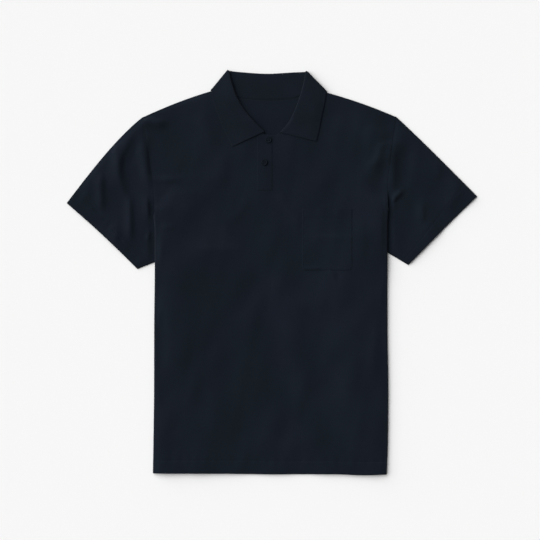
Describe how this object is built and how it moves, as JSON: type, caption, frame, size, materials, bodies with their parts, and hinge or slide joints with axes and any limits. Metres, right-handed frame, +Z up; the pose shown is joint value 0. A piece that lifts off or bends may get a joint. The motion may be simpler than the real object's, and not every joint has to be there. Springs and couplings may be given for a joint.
{
  "type": "polo shirt",
  "caption": "Short-sleeved jersey polo shirt laid flat on its back, with a folded collar, a buttoned placket, a chest pocket and both sides tucked under.",
  "frame": {"origin": "on the surface that the shirt lies on, under the middle of its outline", "axes": "+X to the wearer's left, which is the right of someone looking down on the front; +Y from hem to collar; +Z up out of the front of the shirt"},
  "size_m": [0.759, 0.749, 0.0108],
  "materials": {
    "jersey": "dark navy cotton jersey, matt with a faint nap",
    "collar_knit": "dark navy fine knit, slightly denser than the body",
    "button": "dark navy sew-through button with a soft sheen"
  },
  "bodies": {
    "root": {"back_panel": "jersey", "front_panel": "jersey", "sleeve_left": "jersey", "sleeve_right": "jersey", "placket_top": "jersey", "placket_under": "jersey", "pocket": "jersey", "collar": "collar_knit", "button_1": "button", "button_2": "button"}
  },
  "joints": []
}
